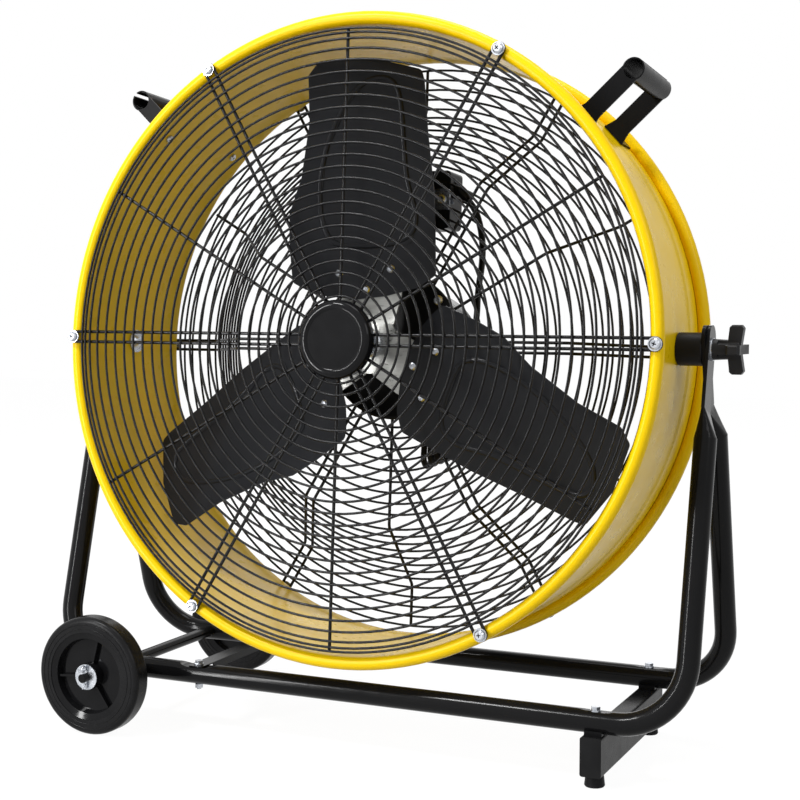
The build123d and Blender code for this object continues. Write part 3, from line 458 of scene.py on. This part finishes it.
screwHeads = {
    "slotLong": 0.0056,
    "slotWide": 0.0013,
    "slotDeep": 0.0018,
    "crossTurn": 20,
    "ringCount": 6,
    "ringRadius": 0.4065,
    "ringTop": 0.13225,
    "motorRadius": 0.090,
    "motorTop": 0.0311,
    "motorAngles": (43, 163, 283),
    "handleAngles": (43.3, 136.7),
    "handleReach": 0.084,
    "handleInside": 0.3943,
    "rearFurther": 0.002,  # the rear screws sit this much further out
    "coverTop": 0.09425,
    "coverSpots": [(x, z) for x in (0.015, 0.065) for z in (0.166, 0.230)],
}


def turnedTo(angle, point):
    # a place on the drum, turned about its axis
    return drumFrame @ Matrix.Rotation(math.radians(-angle), 4, "Y") @ Matrix.Translation(point)


def crossCutter(places):
    # crossed bars, one cross at each head, that cut the driver's recess; their faces carry the painted
    # shade into its walls
    bm = bmesh.new()
    long, deep, wide = screwHeads["slotLong"], screwHeads["slotDeep"], screwHeads["slotWide"]
    for place in places:
        for turn in (0, 90):
            turned = Matrix.Rotation(math.radians(turn + screwHeads["crossTurn"]), 4, "Y")
            bar = place @ turned @ Matrix.Diagonal((long, 2 * deep, wide, 1))
            bmesh.ops.create_cube(bm, size=1.0, matrix=bar)
    # the cutter's faces take the painted recess shade, which the cut leaves on the recess walls
    for face in bm.faces:
        face.material_index = 1
    mesh = bpy.data.meshes.new("crossCutter")
    bm.to_mesh(mesh)
    bm.free()
    mesh.materials.append(looks["zinc"])
    mesh.materials.append(paintedRecessShade)
    cutter = bpy.data.objects.new("crossCutter", mesh)
    bpy.context.scene.collection.objects.link(cutter)
    return cutter


def cutRecesses(node, places):
    piece = smooth[node]
    # painted shade for the recess walls, so the cross reads dark in the zinc head
    piece.data.materials.append(paintedRecessShade)
    cutter = crossCutter(places)
    cut = piece.modifiers.new("recess", "BOOLEAN")
    cut.operation = "DIFFERENCE"
    cut.solver = "EXACT"
    cut.use_self = True
    cut.object = cutter
    bpy.context.view_layer.update()
    shown = piece.evaluated_get(bpy.context.evaluated_depsgraph_get())
    mesh = bpy.data.meshes.new_from_object(shown)
    piece.modifiers.clear()
    piece.data = mesh
    bpy.data.objects.remove(cutter)


def guardHeads():
    reach, top, count = screwHeads["ringRadius"], screwHeads["ringTop"], screwHeads["ringCount"]
    angles = [360 / count * i for i in range(count)]
    return [turnedTo(angle, (reach, side * top, 0)) for angle in angles for side in (-1, 1)]


def motorHeads():
    reach, top = screwHeads["motorRadius"], screwHeads["motorTop"]
    return [turnedTo(angle, (reach, top, 0)) for angle in screwHeads["motorAngles"]]


def handleHeads():
    heads = []
    lying = Matrix.Rotation(math.radians(90), 4, "Z")
    for angle in screwHeads["handleAngles"]:
        for side, step in ((-1, 0), (1, screwHeads["rearFurther"])):
            spot = (screwHeads["handleInside"] + step, side * screwHeads["handleReach"], 0)
            heads.append(turnedTo(angle, spot) @ lying)
    return heads


def coverHeads():
    top = screwHeads["coverTop"]
    return [drumFrame @ Matrix.Translation((x, top, z)) for x, z in screwHeads["coverSpots"]]


cutRecesses("guard_screws", guardHeads())
cutRecesses("motor_screws", motorHeads())
cutRecesses("handle_screws", handleHeads())
cutRecesses("switch_box_screws", coverHeads())
print("screw recesses cut")

bladeBead = {  # lengths in millimetres, apart from the bead's radius and how deep it lies
    "turns": {"blade_top": 0, "blade_left": 120, "blade_right": 240},
    "outline": [
        (-57, 128), (-73, 174), (-70, 249), (-47, 312), (-26, 345), (1, 354), (19, 343.5),
        (26, 306), (31, 252), (38, 203), (54, 171), (48, 130), (-26, 126),
    ],
    "rootHeight": 95,
    "bladeLength": 270,
    "root": (-38.6, 0.309, 8.7),  # depth, slope across the blade, and where the depth holds
    "tip": (-29.6, 0.41, 18.5),
    "radius": 0.0040,
    "sunk": 0.0014,
}


def bladeFace(x, z):
    # depth of the pitched blade's front face, in millimetres
    share = (z - bladeBead["rootHeight"]) / bladeBead["bladeLength"]
    ends = []
    for depth, slope, shift in (bladeBead["root"], bladeBead["tip"]):
        ends.append(depth + slope * (x + shift))
    return (1 - share) * ends[0] + share * ends[1]


def beadOn(node, turn):
    # a rounded pressed bead laid on the blade, joined into its mesh
    curve = bpy.data.curves.new("bead", "CURVE")
    curve.dimensions = "3D"
    curve.bevel_depth = bladeBead["radius"]
    curve.bevel_resolution = 3
    spline = curve.splines.new("NURBS")
    spline.points.add(len(bladeBead["outline"]) - 1)
    for target, (x, z) in zip(spline.points, bladeBead["outline"]):
        target.co = (x / 1000, bladeFace(x, z) / 1000 + bladeBead["sunk"], z / 1000, 1)
    spline.use_cyclic_u = True
    spline.order_u = 4
    spline.resolution_u = 8
    bead = bpy.data.objects.new("bead", curve)
    bpy.context.scene.collection.objects.link(bead)
    bpy.context.view_layer.update()
    shown = bead.evaluated_get(bpy.context.evaluated_depsgraph_get())
    mesh = bpy.data.meshes.new_from_object(shown)
    mesh.transform(turnedTo(turn, (0, 0, 0)))
    bm = bmesh.new()
    bm.from_mesh(mesh)
    for face in bm.faces:
        face.smooth = True
        face.material_index = 0
    piece = smooth[node]
    bm.from_mesh(piece.data)
    bm.to_mesh(piece.data)
    bm.free()
    bpy.data.objects.remove(bead)
    bpy.data.meshes.remove(mesh)


for node, turn in bladeBead["turns"].items():
    beadOn(node, turn)
print("blade beads laid")

# the mains cord

lead = {
    "diameter": 0.009,
    "loops": 6,
    "pitch": 0.0102,
    "fold": 0.014,
    "run": 0.084,
    "longer": 0.004,  # each loop hangs this much lower than the one before
    "waist": 0.012,
    "neck": 1.12,  # how wide it is beside the tie, in waists
    "shoulder": 0.93,  # and further out, in folds
    "foldShare": 0.03,  # where those are, in halves of a run
    "neckShare": 0.3,
    "foldCorners": 4,
    "lastPoints": 4,  # the last side ends under the tie
    "depth": 0.1905,
    "left": 0.040,
    "top": -0.050,
    "tail": (-0.0212, 0.222, -0.043),
    "tailBend": (0.002, -0.009, -0.024),
    "tailStraight": 0.008,
}

leadRoute = [
    (0.0879, 0.0720, 0.2001),
    (0.0956, 0.0727, 0.1916),
    (0.1014, 0.0750, 0.1795),
    (0.1045, 0.0810, 0.1630),
    (0.1036, 0.0920, 0.1450),
    (0.0985, 0.1065, 0.1260),
    (0.0910, 0.1220, 0.1080),
    (0.0820, 0.1370, 0.0900),
    (0.0745, 0.1525, 0.0720),
    (0.0695, 0.1650, 0.0530),
    (0.0640, 0.1735, 0.0330),
    (0.0570, 0.1772, 0.0130),
    (0.0480, 0.1780, -0.0050),
    (0.0428, 0.1772, -0.0165),
    (0.0400, 0.1765, -0.0280),
    (0.0400, 0.1765, -0.0410),
]


def hankLeg(x0, x1, side, low, rising):
    # one long side, drawn in where the tie holds it
    fold, waist = lead["fold"], lead["waist"] / 2
    shoulder, neck = fold * lead["shoulder"], waist * lead["neck"]
    near, part = lead["foldShare"], lead["neckShare"]
    high, middle = lead["top"], lead["top"] - lead["run"] / 2
    points = []
    for share, out in ((near, fold), (part, shoulder), (1 - part, neck), (1.0, waist)):
        points.append((share * 0.5, out, low + (middle - low) * share))
    for share, out in ((part, neck), (1 - part, shoulder), (1 - near, fold)):
        points.append((0.5 + share * 0.5, out, middle + (high - middle) * share))
    if not rising:
        points = [(1 - share, out, z) for share, out, z in reversed(points)]
    return [(x0 + (x1 - x0) * share, lead["depth"] + side * out, z) for share, out, z in points]


def hankFold(x, side, z, sign):
    # corners of a polygon round half a turn, an octagon's with four
    step = math.pi / lead["foldCorners"]
    reach = lead["fold"] / math.cos(step / 2)
    points = []
    for i in range(lead["foldCorners"]):
        out, up = reach * math.cos(step * (i + 0.5)), reach * math.sin(step * (i + 0.5))
        points.append((x, lead["depth"] + side * out, z + sign * up))
    return points


def leadPoints():
    points = list(leadRoute)
    x = lead["left"]
    for i in range(lead["loops"]):
        low = lead["top"] - lead["run"] - lead["longer"] * i
        points += hankLeg(x, x, -1, low, False)
        points += hankFold(x, -1, low, -1)
        last = i == lead["loops"] - 1
        leg = hankLeg(x, x - lead["pitch"], 1, low, True)
        points += leg[: lead["lastPoints"]] if last else leg
        x -= lead["pitch"]
        if not last:
            points += hankFold(x, 1, lead["top"], 1)
    tail = Vector(lead["tail"])
    points.append(tail + Vector(lead["tailBend"]))
    points.append(tail - Vector((0, 0, lead["tailStraight"])))
    points.append(tail + Vector((0, 0, lead["diameter"])))
    return [drumFrame @ Vector(p) for p in points]


def makeLead():
    curve = bpy.data.curves.new("mainsLead", "CURVE")
    curve.dimensions = "3D"
    curve.bevel_depth = lead["diameter"] / 2
    curve.bevel_resolution = 5
    curve.resolution_u = 8
    curve.use_fill_caps = True
    spline = curve.splines.new("NURBS")
    points = leadPoints()
    spline.points.add(len(points) - 1)
    for target, point in zip(spline.points, points):
        target.co = (*point, 1)
    spline.order_u = 3
    spline.use_endpoint_u = True
    piece = bpy.data.objects.new("mainsLead", curve)
    bpy.context.scene.collection.objects.link(piece)
    curve.materials.append(looks["cord_rubber"])
    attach(piece, "drum")
    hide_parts("mains_cord", "cord_hank")
    return piece


leadPiece = makeLead()
print("mains cord laid")
